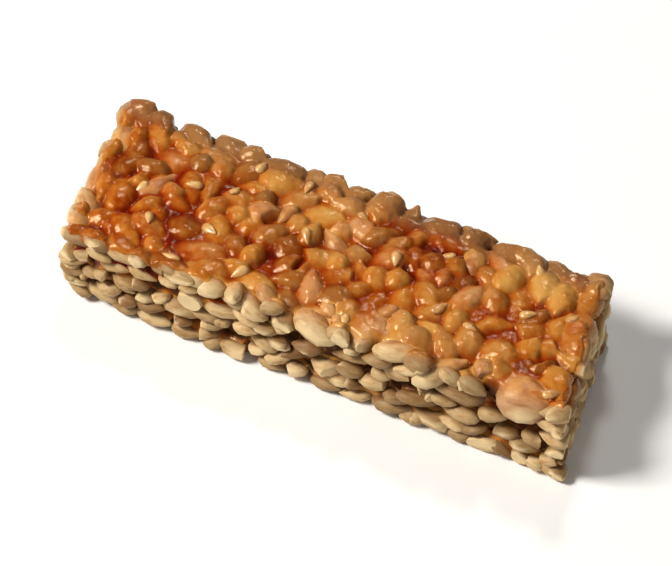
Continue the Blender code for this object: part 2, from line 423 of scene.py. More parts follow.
# Small and broken kernels pressed into what gaps are left at the cuts and in the top
filling = {
    "seed": 24,
    "wallSpacing": 0.7 * mm,
    "wallInset": 0.5 * mm,
    "wallEnds": 1.6 * mm,
    "wallLow": 0.6 * mm,
    "wallBelowTop": 1.2 * mm,
    "wallSearch": 6 * mm,
    "wallGapLeft": 0.85 * mm,  # gaps narrower than this stay open
    "wallOpen": 0.45,  # and this share of the wider ones
    "openReach": 0.6 * mm,
    "openWidest": 1.4 * mm,
    "wallFit": 1.2,  # times the room, a new kernel's half depth
    "wallHalfDepth": (0.55 * mm, 1.2 * mm),
    "wallFlatness": 1.5,
    "wallSlimness": 2.4,
    "wallSunk": 0.75,
    "topSpacing": 0.8 * mm,
    "topSunk": 1.9 * mm,
    "topGapLeft": 0.85 * mm,
    "topFromCut": 0.8 * mm,
    "topFit": 1.3,
    "topHalfWidth": (0.9 * mm, 1.9 * mm),
    "topFlatness": 0.75,
    "topSlimness": 1.7,
    "tilt": 9 * turnDegree,
    "topMoreTilt": 1.5,
}


def roomAt(spots, batch):
    # how far each spot is from the nearest kernel
    parts = [kernelDistance(part, batch).min(axis=1) for part in np.array_split(spots, 30)]
    return np.concatenate(parts)


def fillGaps(dice, spots, near, gapLeft, openShare, makeOne):
    # the widest gap gets a kernel of its size, again and again, until only narrow ones are left; some
    # stay open
    room = roomAt(spots, near)
    made = []
    while room.max() > gapLeft:
        widest = room.argmax()
        if dice.random() < openShare and room[widest] < filling["openWidest"]:
            room[np.linalg.norm(spots - spots[widest], axis=1) < room[widest] + filling["openReach"]] = 0
            continue
        one = makeOne(dice, spots[widest], room[widest])
        made.append(one)
        room = np.minimum(room, kernelDistance(spots, one)[:, 0])
        room[widest] = 0
    return made


def fillWall(dice, wall):
    inward = -cutNormals[wall]
    along = cutRuns[wall] / cutLengths[wall]
    ends, low, high = filling["wallEnds"], filling["wallLow"], barHeight - filling["wallBelowTop"]
    travels = np.arange(ends, cutLengths[wall] - ends, filling["wallSpacing"])
    levels = np.arange(low, high, filling["wallSpacing"])
    t, z = (axis.ravel() for axis in np.meshgrid(travels, levels, indexing="ij"))
    plan = cutCorners[wall] + t[:, None] * along + filling["wallInset"] * inward
    spots = np.column_stack([plan, z])
    spots = spots[~inNotch(spots) & (kernelDistance(spots, rosy)[:, 0] > rosyKernel["keepClear"])]
    near = cutDistances(kernels["centre"])[:, wall] > -filling["wallSearch"]
    courseHeight = barHeight / packing["courses"]

    def makeOne(dice, spot, room):
        halfDepth = np.clip(room * filling["wallFit"], *filling["wallHalfDepth"])
        halfWidth = halfDepth * filling["wallFlatness"]
        halfLength = halfDepth * filling["wallSlimness"]
        place = spot + np.append(inward * (halfWidth * filling["wallSunk"] - filling["wallInset"]), 0)
        turn = cutTurns[wall] + dice.normal(0, packing["wallSpread"] / 2) + math.pi * dice.integers(2)
        tilts = dice.normal(0, filling["tilt"], (1, 2))
        half = np.array([[halfLength, halfWidth, halfDepth]]) * dice.uniform(0.9, 1.1, (1, 3))
        place[2] = max(place[2], kernelForm["trayLift"] + halfDepth)
        course = min(int(spot[2] / courseHeight), topCourse - 1)
        return makeKernels(dice, place[None], np.array([turn]), tilts, half, course)

    chosen = {key: value[near] for key, value in kernels.items()}
    return fillGaps(dice, spots, chosen, filling["wallGapLeft"], filling["wallOpen"], makeOne)


def fillTop(dice):
    level = barHeight - filling["topSunk"]
    xs = np.arange(-barSize[0] / 2, barSize[0] / 2, filling["topSpacing"])
    ys = np.arange(-barSize[1] / 2, barSize[1] / 2, filling["topSpacing"])
    x, y = (axis.ravel() for axis in np.meshgrid(xs, ys, indexing="ij"))
    spots = np.column_stack([x, y, np.full(x.shape, level)])
    spots = spots[cutDistances(spots).max(axis=1) < -filling["topFromCut"]]
    spots = spots[kernelDistance(spots, rosy)[:, 0] > rosyKernel["keepClear"]]

    def makeOne(dice, spot, room):
        halfWidth = np.clip(room * filling["topFit"], *filling["topHalfWidth"])
        halfLength, halfDepth = halfWidth * filling["topSlimness"], halfWidth * filling["topFlatness"]
        half = np.array([[halfLength, halfWidth, halfDepth]]) * dice.uniform(0.85, 1.15, (1, 3))
        tilts = dice.normal(0, filling["tilt"] * filling["topMoreTilt"], (1, 2))
        turn = dice.uniform(-math.pi, math.pi, 1)
        return makeKernels(dice, spot[None].copy(), turn, tilts, half, topCourse)

    chosen = {key: value[kernels["course"] >= topCourse - 1] for key, value in kernels.items()}
    return fillGaps(dice, spots, chosen, filling["topGapLeft"], 0, makeOne)


fillDice = np.random.default_rng(filling["seed"])
fillers = [one for wall in range(4) for one in fillWall(fillDice, wall)]
fillers += fillTop(fillDice)
kernels = joinKernels([kernels] + fillers)
kernels["outside"] = cutDistances(kernels["centre"]).max(axis=1)
print("small kernels tucked in:", len(fillers))


def kernelPoints(batch):
    # grid of rings along each kernel and steps around it: the breadth formula gives each ring its size,
    # a superellipse its section, and slow waves its unevenness; the last two points are the end poles,
    # and a broken kernel's tip is pressed back onto the plane where it snapped
    count = len(batch["tone"])
    rings, around = kernelForm["rings"], kernelForm["around"]
    share = 0.5 - 0.5 * np.cos(np.linspace(0, math.pi, rings + 2)[1:-1])
    angle = np.linspace(0, 2 * math.pi, around, endpoint=False)
    power = 2 / kernelForm["squareness"]
    across = np.sign(np.cos(angle)) * np.abs(np.cos(angle)) ** power
    upward = np.sign(np.sin(angle)) * np.abs(np.sin(angle)) ** power
    breadth = breadthAt(share)
    phase = batch["dice"][:, 1:4] * 2 * math.pi
    waves = 1 + kernelForm["lumps"] * (
        np.sin(2 * angle[None, None, :] + phase[:, 0, None, None] + 5 * share[None, :, None])
        + np.sin(3 * angle[None, None, :] + phase[:, 1, None, None] - 7 * share[None, :, None])
    )
    x = np.broadcast_to((2 * share - 1)[None, :, None], (count, rings, around))
    y = breadth[None, :, None] * across[None, None, :] * waves
    z = breadth[None, :, None] ** kernelForm["plumpness"] * upward[None, None, :] * waves
    y = y + bendAt(2 * share[:, None] - 1, batch).T[:, :, None]
    local = np.stack([x, y, z], axis=-1).reshape(count, rings * around, 3)
    poles = np.zeros((count, 2, 3))
    poles[:, 0, 0], poles[:, 1, 0] = -1, 1
    local = np.concatenate([local, poles], axis=1)
    snapAt = batch["snap"][:, None] + batch["snapLean"][:, None] * local[..., 1]
    snapped = easeBetween(-0.01, 0.02, local[..., 0] - snapAt)
    local[..., 0] = np.minimum(local[..., 0], snapAt)
    grain = local * batch["half"][:, None, :] / mm + batch["dice"][:, None, :3] * 50
    wellInside = batch["outside"] < -kernelForm["wellInside"]
    shrink = np.where(wellInside, kernelForm["innerShrink"], kernelForm["coatedShrink"])
    local = local * (batch["half"] - (shrink * batch["coated"])[:, None])[:, None, :]
    points = batch["centre"][:, None, :] + np.einsum("nki,nij->nkj", local, batch["axes"])
    return points, snapped, grain


def sliceByKnife(points, batch):
    # what stands past a kernel's own knife depth is pressed back flush with that cut
    whole = batch["dice"][:, 5] < kernelForm["wholeShare"]
    reach = cutDistances(points).max(axis=(1, 2))
    whole &= reach < kernelForm["wholeReach"]
    low, high = kernelForm["flush"]
    depth = np.where(whole, 1.0, low + (high - low) * batch["dice"][:, 0])
    sliced = np.zeros(points.shape[:2])
    lean = (batch["dice"][:, None, 1:4] - 0.5) * 2 * kernelForm["cutLean"]
    leaning = ((points - batch["centre"][:, None, :]) * lean).sum(axis=2)
    for normal, offset in zip(planeNormals[:4], planeOffsets[:4]):
        past = points[..., :2] @ normal - offset - depth[:, None] + leaning
        sliced = np.maximum(sliced, easeBetween(-kernelForm["cutEdge"], kernelForm["cutEdge"], past))
        points[..., :2] -= np.maximum(past, 0)[..., None] * normal
    points[..., 2] = np.maximum(points[..., 2], kernelForm["trayLift"])
    return points, sliced


def newPiece(name, points, faceLists, numbers, places=(), sharpFrom=math.pi):
    # one object from arrays, with named numbers and places on its points for the finishes to read;
    # edges that turn by more than sharpFrom stay crisp
    mesh = bpy.data.meshes.new(name)
    faces = [list(face) for faces in faceLists for face in faces.tolist()]
    mesh.from_pydata(points.reshape(-1, 3).tolist(), [], faces)
    for label, values in numbers.items():
        layer = mesh.attributes.new(label, "FLOAT", "POINT")
        layer.data.foreach_set("value", np.ascontiguousarray(values, dtype=np.float32).ravel())
    for label, values in dict(places).items():
        layer = mesh.attributes.new(label, "FLOAT_VECTOR", "POINT")
        layer.data.foreach_set("vector", np.ascontiguousarray(values, dtype=np.float32).ravel())
    mesh.polygons.foreach_set("use_smooth", np.ones(len(mesh.polygons), dtype=bool))
    mesh.validate()
    mesh.update()
    mesh.set_sharp_from_angle(angle=sharpFrom)
    piece = bpy.data.objects.new(name, mesh)
    bpy.context.scene.collection.objects.link(piece)
    return piece


# The caramel: it drapes over the core and the kernels, as a fine upper piece and a coarser lower one
caramelForm = {
    "upperGrid": 0.245 * mm,
    "lowerGrid": 0.44 * mm,
    "upperSpan": (0.28, 1.0),  # heights in the block, -1 at its bottom to 1 at its top
    "lowerSpan": (-1.0, 0.36),
    "outset": 1.6 * mm,  # the block that the surface is drawn in from
    "roundness": 5.0 * mm,
    "mostTravel": 6.5 * mm,
    "relaxTurns": 8,
    "stretched": (1.9, 3.8),  # times the grid
    "steps": 26,
    "stride": 0.85,  # share of the distance that a step takes
    "tile": 6 * mm,
    "search": 4.8 * mm,
    "coreTop": 1.85 * mm,  # below the bar's height
    "poolWave": 0.45 * mm,  # and how much that varies
    "poolWavelength": 11 * mm,
    "poolRise": 0.8,  # share of the slab's own rise that the core follows
    "coreInset": 2.6 * mm,
    "insetWave": 0.45 * mm,
    "insetWavelength": 9 * mm,
    "coreSoftness": 0.5 * mm,
    "kernelSoftness": 0.14 * mm,
    "meniscus": 0.34 * mm,
    "filmMean": 0.20 * mm,
    "filmSpread": 0.05 * mm,
    "filmLeast": 0.13 * mm,
    "bareShare": 0.03,  # kernels of the top that no film covers
    "edgeBareShares": (0.66, 0.3, 0.10, 0.35),  # and near its front, right, back and left edge
    "edgeReaches": (5.0 * mm, 3.2 * mm, 2.0 * mm, 3.2 * mm),
    "lumps": 0.06 * mm,  # unevenness of the film on the top
    "lumpSize": 2.6 * mm,
    "fineLumps": 0.6,
    "bareDepth": 3.6 * mm,  # near a cut the film is torn off the kernels
    "bareDepthTop": (2.6 * mm, 1.3 * mm, 0.9 * mm, 1.8 * mm),  # on the top: front, right, back and left
    "tornBelow": ((0.78, 0.92), (0.72, 0.90), (0.50, 0.70), (0.70, 0.90)),  # shares of the height
    "tornWave": 0.35 * mm,
    "tornWavelength": 3.5 * mm,
    "tornFade": (-1.0, -0.35),
    "bareness": 0.5 * mm,
    "cutTrim": 0.8 * mm,
    "hollowCell": 0.5 * mm,
    "hollowWidth": 2.0 * mm,
    "upperFrom": 0.6,
    "creamPlaces": ((-6, 3), (3, 5), (20, 4)),  # bare pale kernels along the front edge: x and reach, mm
    "creamReach": 4.6 * mm,
    "creamInLeft": 3.0 * mm,  # and along the front part of the left edge
    "creamLeftTo": -3.0 * mm,
    "leftGlazed": 0.55,  # how much less of the front edge is bare on the left
    "leftFrom": (-6 * mm, -13 * mm),
    "creamTone": 0.80,
    "backShadeReach": 4.6 * mm,  # along the back edge the kernels' tone is darkened: painted shade, as they face away from the light there
    "backShadeTone": 0.4,
    "backShadeStrength": 0.55,  # and painted shade darkens the sugar over them
    "backShadeBand": (-5.5 * mm, -2.5 * mm),
    "backShadeHeights": (0.5, 0.7),
}


def softUnion(distances, softness, axis):
    # the smallest of the distances, rounded where two are alike: -s log(sum(exp(-d / s)))
    lowest = distances.min(axis=axis, keepdims=True)
    total = np.exp(-(distances - lowest) / softness).sum(axis=axis)
    return np.squeeze(lowest, axis=axis) - softness * np.log(total)


# Where the sugar has browned; the places are x, y and how far along and across, in mm
browning = {
    "middle": 0.5,
    "most": 1.4,
    "waves": ((0.16, 17 * mm), (0.10, 7 * mm)),  # height and wavelength
    "golden": -0.55,
    "goldenPlaces": ((-7, 5, 12, 6), (24, -8, 10, 5), (-24, 10, 10, 5),
                     (4, -11, 14, 4), (30, 9, 8, 4)),
    "brown": 0.45,
    "brownPlaces": ((-33, -4, 11, 8), (-30, -12, 15, 6), (14, 8, 7, 5),
                    (40, -11, 7, 6), (-41, 10, 6, 6)),
    "rim": 0.12,  # along the right edge
    "rimBand": (-4.0 * mm, -0.5 * mm),
}


def browningAt(points):
    # how far the sugar has browned, 0 golden to dark red-brown: slow ripples, and bells over a few places
    total = np.full(points.shape[:-1], browning["middle"])
    for seed, (height, wavelength) in zip((31, 32), browning["waves"]):
        total = total + height * ripple(points, wavelength, seed)
    for label in ("golden", "brown"):
        for x, y, along, across in browning[label + "Places"]:
            far = ((points[..., 0] / mm - x) / along) ** 2 + ((points[..., 1] / mm - y) / across) ** 2
            total = total + browning[label] * np.exp(-far)
    total = total + browning["rim"] * easeBetween(*browning["rimBand"], cutDistances(points)[..., 1])
    return np.clip(total, 0, browning["most"])


def backShadeAt(points):
    # how much painted shade darkens the sugar and kernels there: along the back edge of the top
    share = easeBetween(*caramelForm["backShadeBand"], cutDistances(points)[..., 2])
    high = easeBetween(*caramelForm["backShadeHeights"], points[..., 2] / barHeight)
    return caramelForm["backShadeStrength"] * share * high


def frontWear(points):
    # how bare the front edge is there: as bare as it gets to the right, less on the left
    return 1 - caramelForm["leftGlazed"] * easeBetween(*caramelForm["leftFrom"], points[..., 0])


def coatKernels(dice):
    # most kernels carry a film of their own thickness, some of the top's none, most often near its edge
    count = len(kernels["tone"])
    film = dice.normal(caramelForm["filmMean"], caramelForm["filmSpread"], count)
    film = np.maximum(film, caramelForm["filmLeast"])
    outside = cutDistances(kernels["centre"])
    wall = outside[:, :4].argmax(axis=1)
    nearEdge = kernels["outside"] > -np.array(caramelForm["edgeReaches"])[wall]
    share = np.where(nearEdge, np.array(caramelForm["edgeBareShares"])[wall], caramelForm["bareShare"])
    share = share * np.where(wall == 0, frontWear(kernels["centre"]), 1.0)
    onTop = kernels["course"] == topCourse
    bare = (dice.uniform(0, 1, count) < share) & onTop
    atFront = onTop & (outside[:, 0] > -caramelForm["creamReach"])
    cream = onTop & (outside[:, 3] > -caramelForm["creamInLeft"])
    cream &= kernels["centre"][:, 1] < caramelForm["creamLeftTo"]
    for x, reach in caramelForm["creamPlaces"]:
        cream |= atFront & (np.abs(kernels["centre"][:, 0] / mm - x) < reach)
    kernels["tone"][cream] = caramelForm["creamTone"]
    bare |= cream
    # kernels along the back edge get a darker tone: painted shade
    rim = onTop & (outside[:, 2] > -caramelForm["backShadeReach"])
    kernels["tone"][rim] *= caramelForm["backShadeTone"]
    bare |= kernels["bareAnyway"]
    kernels["film"] = np.where(bare, -caramelForm["bareness"], film)
    kernels["coated"] = ~bare


coatKernels(np.random.default_rng(packing["seed"] + 2))


def caramelField(points, near):
    # distance to the caramel's surface: the soft union of core and filmed kernels, trimmed inside the
    # knife cuts and by the tray; also the depth to the nearest kernel, and which kernel that is
    cuts = cutDistances(points)
    outermost = cuts.max(axis=1)
    inset = caramelForm["insetWave"] * ripple(points, caramelForm["insetWavelength"], 5)
    inset = caramelForm["coreInset"] + inset
    pool = caramelForm["poolWave"] * ripple(points, caramelForm["poolWavelength"], 6)
    level = barHeight - caramelForm["coreTop"] + pool
    roof = points[:, 2] - level - caramelForm["poolRise"] * riseAt(points)
    core = -softUnion(-np.stack([outermost + inset, roof], axis=1), caramelForm["coreSoftness"], 1)
    waves = caramelForm["tornWave"] * ripple(points, caramelForm["tornWavelength"], 9)
    torn = cuts[:, :4] + waves[:, None]
    high = easeBetween(*np.array(caramelForm["tornBelow"]).T, points[:, 2:] / barHeight)
    depth = caramelForm["bareDepth"] * (1 - high) + np.array(caramelForm["bareDepthTop"]) * high
    depth[:, 0] *= np.where(points[:, 2] > barHeight / 2, frontWear(points), 1.0)
    bare = easeBetween(*caramelForm["tornFade"], torn / depth).max(axis=1)
    if len(near["tone"]):
        raw = kernelDistance(points, near)
        film = near["film"][None] * (1 - bare[:, None]) - caramelForm["bareness"] * bare[:, None]
        filmed = softUnion(raw - film, caramelForm["kernelSoftness"], 1)
        thickness = raw.min(axis=1)
        nearest = raw.argmin(axis=1)
    else:
        filmed = np.full(len(points), 1.0)  # no kernel near
        thickness = np.full(len(points), 3 * mm)
        nearest = np.zeros(len(points), dtype=int)
    body = softUnion(np.stack([core, filmed], axis=1), caramelForm["meniscus"], 1)
    relief = ripple(points, caramelForm["lumpSize"], 7)
    relief = relief + caramelForm["fineLumps"] * ripple(points, caramelForm["lumpSize"] / 2, 8)
    body = body - caramelForm["lumps"] * (1 - bare) * relief
    trimmed = np.maximum(body, outermost + caramelForm["cutTrim"])
    return np.maximum(trimmed, -points[:, 2]), thickness, nearest


def blockGrid(grid, span):
    # the sides of part of a cube as grids of two parameters, -1 to 1, welded where they meet: the upper
    # part has no lower side and the lower part no upper one
    lengths = barSize / 2 + caramelForm["outset"]
    lows, highs = np.array([-1, -1, span[0]]), np.array([1, 1, span[1]])
    cells = np.round(lengths * (highs - lows) / grid).astype(int)
    ticks = [np.linspace(lows[axis], highs[axis], cells[axis] + 1) for axis in range(3)]
    pointList, quadList, total = [], [], 0
    for axis, side in ((0, -1), (0, 1), (1, -1), (1, 1), (2, -1 if span[0] == -1 else 1)):
        first, second = (axis + 1) % 3, (axis + 2) % 3
        a, b = np.meshgrid(ticks[first], ticks[second], indexing="ij")
        index = np.arange(a.size).reshape(a.shape)
        corners = (index[:-1, :-1], index[1:, :-1], index[1:, 1:], index[:-1, 1:])
        quads = np.stack(corners, axis=-1).reshape(-1, 4)
        cube = np.empty(a.shape + (3,))
        cube[..., axis], cube[..., first], cube[..., second] = side, a, b
        pointList.append(cube.reshape(-1, 3))
        quadList.append((quads if side > 0 else quads[:, ::-1]) + total)
        total += a.size
    everything = np.round(np.concatenate(pointList), 7)
    unique, inverse = np.unique(everything, axis=0, return_inverse=True)
    return unique, inverse.ravel()[np.concatenate(quadList)]


def roundedBlock(cube):
    # cube points become a rounded block round the bar, each with the direction out of it, and the
    # block leans as the bar's plan does
    half = barSize / 2 + caramelForm["outset"]
    inner = half - caramelForm["roundness"]
    flat = cube * half
    heart = np.clip(flat, -inner, inner)
    outward = flat - heart
    outward /= np.linalg.norm(outward, axis=1)[:, None]
    start = heart + outward * caramelForm["roundness"]
    start[:, 0] = start[:, 0] * (frontLength / barSize[0]) - start[:, 1] / barSize[1] * barCut["endLean"]
    start[:, 2] += barHeight / 2
    return start, outward


def tiles(points, size):
    # groups of point numbers that lie in the same square tile of the plan
    cell = np.floor(points[:, :2] / size).astype(int)
    key = cell[:, 0] * 1000 + cell[:, 1]
    order = np.argsort(key, kind="stable")
    breaks = np.flatnonzero(np.diff(key[order])) + 1
    return np.split(order, breaks)


def relaxed(rows, quads, grid):
    # a point with a stretched face moves to the mean of its neighbours, and its numbers with it, a few
    # times over; a row is x, y, z and then those numbers
    edges = np.concatenate([quads[:, [a, (a + 1) % 4]] for a in range(4)])
    edges = np.concatenate([edges, edges[:, ::-1]])
    here, size = edges[:, 0], len(rows)
    count = np.bincount(here, minlength=size)
    for turn in range(caramelForm["relaxTurns"]):
        run = rows[edges[:, 1]] - rows[here]
        shift = np.stack([np.bincount(here, weights=column, minlength=size) for column in run.T], axis=1)
        longest = np.zeros(size)
        np.maximum.at(longest, here, np.linalg.norm(run[:, :3], axis=1))
        share = easeBetween(*caramelForm["stretched"], longest / grid)
        rows = rows + (share / count)[:, None] * shift
    return rows


def drapeCaramel(grid, span):
    # every point of the block walks inwards until it meets the caramel, and the open rim is drawn to
    # one pole inside the bar
    cube, quads = blockGrid(grid, span)
    start, outward = roundedBlock(cube)
    place = start.copy()
    film, under, left = np.zeros((3, len(start)))
    margin = caramelForm["search"] + caramelForm["outset"] + caramelForm["roundness"]
    for group in tiles(start, caramelForm["tile"]):
        low, high = start[group].min(axis=0) - margin, start[group].max(axis=0) + margin
        inside = ((kernels["centre"] > low) & (kernels["centre"] < high)).all(axis=1)
        near = {key: value[inside] for key, value in kernels.items()}
        walker, heading, travel = start[group], outward[group], np.zeros(len(group))
        for step in range(caramelForm["steps"]):
            distance, thickness, nearest = caramelField(walker, near)
            travel = np.clip(travel + distance * caramelForm["stride"], 0, caramelForm["mostTravel"])
            walker = start[group] - heading * travel[:, None]
        place[group], film[group], left[group] = walker, thickness, distance
        under[group] = near["tone"][nearest] if len(near["tone"]) else 0.5
    print("points still more than 0.1 mm off the caramel:", int((np.abs(left) > 0.1 * mm).sum()))
    rows = relaxed(np.column_stack([place, film, under]), quads, grid)
    place, film, under = rows[:, :3], rows[:, 3], rows[:, 4]
    facesDown = span[0] > -1
    rim = np.flatnonzero(cube[:, 2] == np.round(span[0] if facesDown else span[1], 7))
    rim = rim[np.argsort(np.arctan2(cube[rim, 1], cube[rim, 0]))]
    place = np.vstack([place, place[rim].mean(axis=0)])
    here, there = (np.roll(rim, -1), rim) if facesDown else (rim, np.roll(rim, -1))
    fan = np.stack([np.full(len(rim), len(start)), here, there], axis=1)
    film, under = np.append(film, 0), np.append(under, 0)
    return {"points": place, "quads": quads, "fan": fan, "film": film, "under": under}


def blurred(heights, width):
    # a running mean by a bell of that width, in cells, along both directions of a height map
    reach = int(width * 3)
    bell = np.exp(-0.5 * (np.arange(-reach, reach + 1) / width) ** 2)
    for axis in (0, 1):
        heights = np.apply_along_axis(np.convolve, axis, heights, bell, "same")
    return heights


def hollowAt(points):
    # how far each point of the top lies below the mean height around it, in mm: a height map in plan,
    # blurred by a bell, less the point's own height
    cell = caramelForm["hollowCell"]
    column = np.floor((points[:, :2] + barSize[:2] / 2 + 4 * cell) / cell).astype(int)
    shape = tuple(np.ceil(barSize[:2] / cell).astype(int) + 8)
    upper = points[:, 2] > barHeight * caramelForm["upperFrom"]
    flat = np.ravel_multi_index(np.clip(column, 0, np.array(shape) - 1).T, shape)
    count = np.bincount(flat[upper], minlength=shape[0] * shape[1]).reshape(shape).astype(float)
    total = np.bincount(flat[upper], points[upper, 2], minlength=shape[0] * shape[1]).reshape(shape)
    width = caramelForm["hollowWidth"] / cell
    mean = blurred(total, width) / np.maximum(blurred(count, width), nearZero)
    return np.where(upper, (mean.ravel()[flat] - points[:, 2]) / mm, 0)


upperCaramel = drapeCaramel(caramelForm["upperGrid"], caramelForm["upperSpan"])
print("caramel of the top draped:", len(upperCaramel["points"]), "points")
lowerCaramel = drapeCaramel(caramelForm["lowerGrid"], caramelForm["lowerSpan"])
print("caramel below draped:", len(lowerCaramel["points"]), "points")


# Finishes
def newFinish(name):
    made = bpy.data.materials.new(name)
    made.use_nodes = True
    nodes = made.node_tree.nodes
    return made, nodes, made.node_tree.links, nodes["Principled BSDF"]


def addNode(nodes, kind, **settings):
    node = nodes.new(kind)
    for label, value in settings.items():
        setattr(node, label, value)
    return node


def readNumber(nodes, label):
    # the number of that name on the piece's points
    return addNode(nodes, "ShaderNodeAttribute", attribute_name=label).outputs["Fac"]


def readGrain(nodes, links, stretch):
    # a place in the kernel's own frame, in millimetres, squeezed along its length to make streaks
    place = addNode(nodes, "ShaderNodeAttribute", attribute_name="grain").outputs["Vector"]
    mapping = addNode(nodes, "ShaderNodeMapping")
    mapping.inputs["Scale"].default_value = (stretch, 1, 1)
    links.new(place, mapping.inputs["Vector"])
    return mapping.outputs["Vector"]


def addRamp(nodes, links, source, stops, interpolation="EASE"):
    # colours at their places along a number
    ramp = addNode(nodes, "ShaderNodeValToRGB")
    ramp.color_ramp.interpolation = interpolation
    elements = ramp.color_ramp.elements
    while len(elements) < len(stops):
        elements.new(0.5)
    for element, (place, colour) in zip(elements, stops):
        element.position = place
        element.color = (*colour, 1)
    links.new(source, ramp.inputs["Fac"])
    return ramp.outputs["Color"]


def addNoise(nodes, links, scale, detail=4.0, roughness=0.55, place=None):
    if place is None:
        place = addNode(nodes, "ShaderNodeTexCoord").outputs["Object"]
    noise = addNode(nodes, "ShaderNodeTexNoise")
    noise.inputs["Scale"].default_value = scale
    noise.inputs["Detail"].default_value = detail
    noise.inputs["Roughness"].default_value = roughness
    links.new(place, noise.inputs["Vector"])
    return noise.outputs["Fac"]


def addMath(nodes, links, operation, first, second, clamp=False):
    node = addNode(nodes, "ShaderNodeMath", operation=operation, use_clamp=clamp)
    for socket, value in zip(node.inputs, (first, second)):
        if isinstance(value, (int, float)):
            socket.default_value = value
        else:
            links.new(value, socket)
    return node.outputs["Value"]


def addMix(nodes, links, share, first, second, blend="MIX"):
    node = addNode(nodes, "ShaderNodeMix", data_type="RGBA", blend_type=blend)
    for socket, value in ((node.inputs[0], share), (node.inputs[6], first), (node.inputs[7], second)):
        if isinstance(value, (int, float)):
            socket.default_value = value
        elif isinstance(value, tuple):
            socket.default_value = (*value, 1)
        else:
            links.new(value, socket)
    return node.outputs[2]


def setSockets(shader, values):
    for label, value in values.items():
        shader.inputs[label].default_value = value


def addBump(nodes, links, height, strength, distance, normal=None):
    bump = addNode(nodes, "ShaderNodeBump")
    bump.inputs["Strength"].default_value = strength
    bump.inputs["Distance"].default_value = distance
    links.new(height, bump.inputs["Height"])
    if normal is not None:
        links.new(normal, bump.inputs["Normal"])
    return bump.outputs["Normal"]


# Sesame seeds, stuck flat on the sugar of the top
sesameForm = {
    "seed": 57,
    "count": 20,
    "length": 3.0 * mm,
    "width": 1.8 * mm,
    "depth": 1.0 * mm,
    "sizeSpread": 0.12,
    "proud": 0.05 * mm,
    "spacing": 6.0 * mm,
    "fromCut": 3.0 * mm,
    "steepest": 0.80,  # least upward share of the sugar's normal
    "deepest": 2.0 * mm,
    "rings": 5,
    "around": 8,
    "pointed": 0.62,
}


def normalsAt(points, quads):
    # a point's normal: the sum of its faces' diagonals crossed
    first, second, third, fourth = (points[quads[:, corner]] for corner in range(4))
    crossed = np.cross(third - first, fourth - second)
    total = np.zeros_like(points)
    for corner in range(4):
        np.add.at(total, quads[:, corner], crossed)
    return total / np.maximum(np.linalg.norm(total, axis=1), nearZero**2)[:, None]


def spreadSeeds(dice, points, normals):
    # points of the top in a shuffled order, and each that is far enough from those before stays
    fit = (normals[:, 2] > sesameForm["steepest"]) & (points[:, 2] > barHeight - sesameForm["deepest"])
    fit &= cutDistances(points).max(axis=1) < -sesameForm["fromCut"]
    chosen = np.zeros(0, dtype=int)
    for number in dice.permutation(np.flatnonzero(fit)):
        gaps = np.linalg.norm(points[chosen, :2] - points[number, :2], axis=1)
        if not (gaps < sesameForm["spacing"]).any():
            chosen = np.append(chosen, number)
        if len(chosen) == sesameForm["count"]:
            break
    return chosen


def sesamePoints(dice, places, normals):
    # rings along a flat teardrop: breadth is a sine drawn to the blunt end, the section an ellipse
    count, rings, around = len(places), sesameForm["rings"], sesameForm["around"]
    share = 0.5 - 0.5 * np.cos(np.linspace(0, math.pi, rings + 2)[1:-1])
    angle = np.linspace(0, 2 * math.pi, around, endpoint=False)
    breadth = np.sin(math.pi * share ** sesameForm["pointed"]) ** 0.8
    x = np.broadcast_to((2 * share - 1)[:, None], (rings, around))
    local = np.stack([x, breadth[:, None] * np.cos(angle), breadth[:, None] * np.sin(angle)], axis=-1)
    local = np.concatenate([local.reshape(-1, 3), [[-1.0, 0, 0], [1.0, 0, 0]]])
    grown = dice.uniform(1 - sesameForm["sizeSpread"], 1 + sesameForm["sizeSpread"], (count, 3))
    half = np.array([sesameForm["length"], sesameForm["width"], sesameForm["depth"]]) / 2 * grown
    turn = dice.uniform(0, 2 * math.pi, count)
    heading = np.column_stack([np.cos(turn), np.sin(turn), np.zeros(count)])
    wide = np.cross(normals, heading)
    wide /= np.linalg.norm(wide, axis=1)[:, None]
    axes = np.stack([np.cross(wide, normals), wide, normals], axis=1)
    centre = places + normals * sesameForm["proud"]
    return centre[:, None, :] + np.einsum("nki,nij->nkj", local[None] * half[:, None, :], axes)


def gridFaces(count, rings, around):
    # quads between rings and a fan of triangles at each pole, repeated for every grain
    ring, step = np.meshgrid(np.arange(rings - 1), np.arange(around), indexing="ij")
    here, there = ring * around + step, ring * around + (step + 1) % around
    quads = np.stack([here, there, there + around, here + around], axis=-1).reshape(-1, 4)[:, ::-1]
    step = np.arange(around)
    first = np.stack([np.full(around, rings * around), (step + 1) % around, step], axis=1)[:, ::-1]
    base = (rings - 1) * around
    pole = np.full(around, rings * around + 1)
    last = np.stack([pole, base + step, base + (step + 1) % around], axis=1)[:, ::-1]
    triangles = np.concatenate([first, last])
    shift = (np.arange(count) * (rings * around + 2))[:, None, None]
    return (quads[None] + shift).reshape(-1, 4), (triangles[None] + shift).reshape(-1, 3)


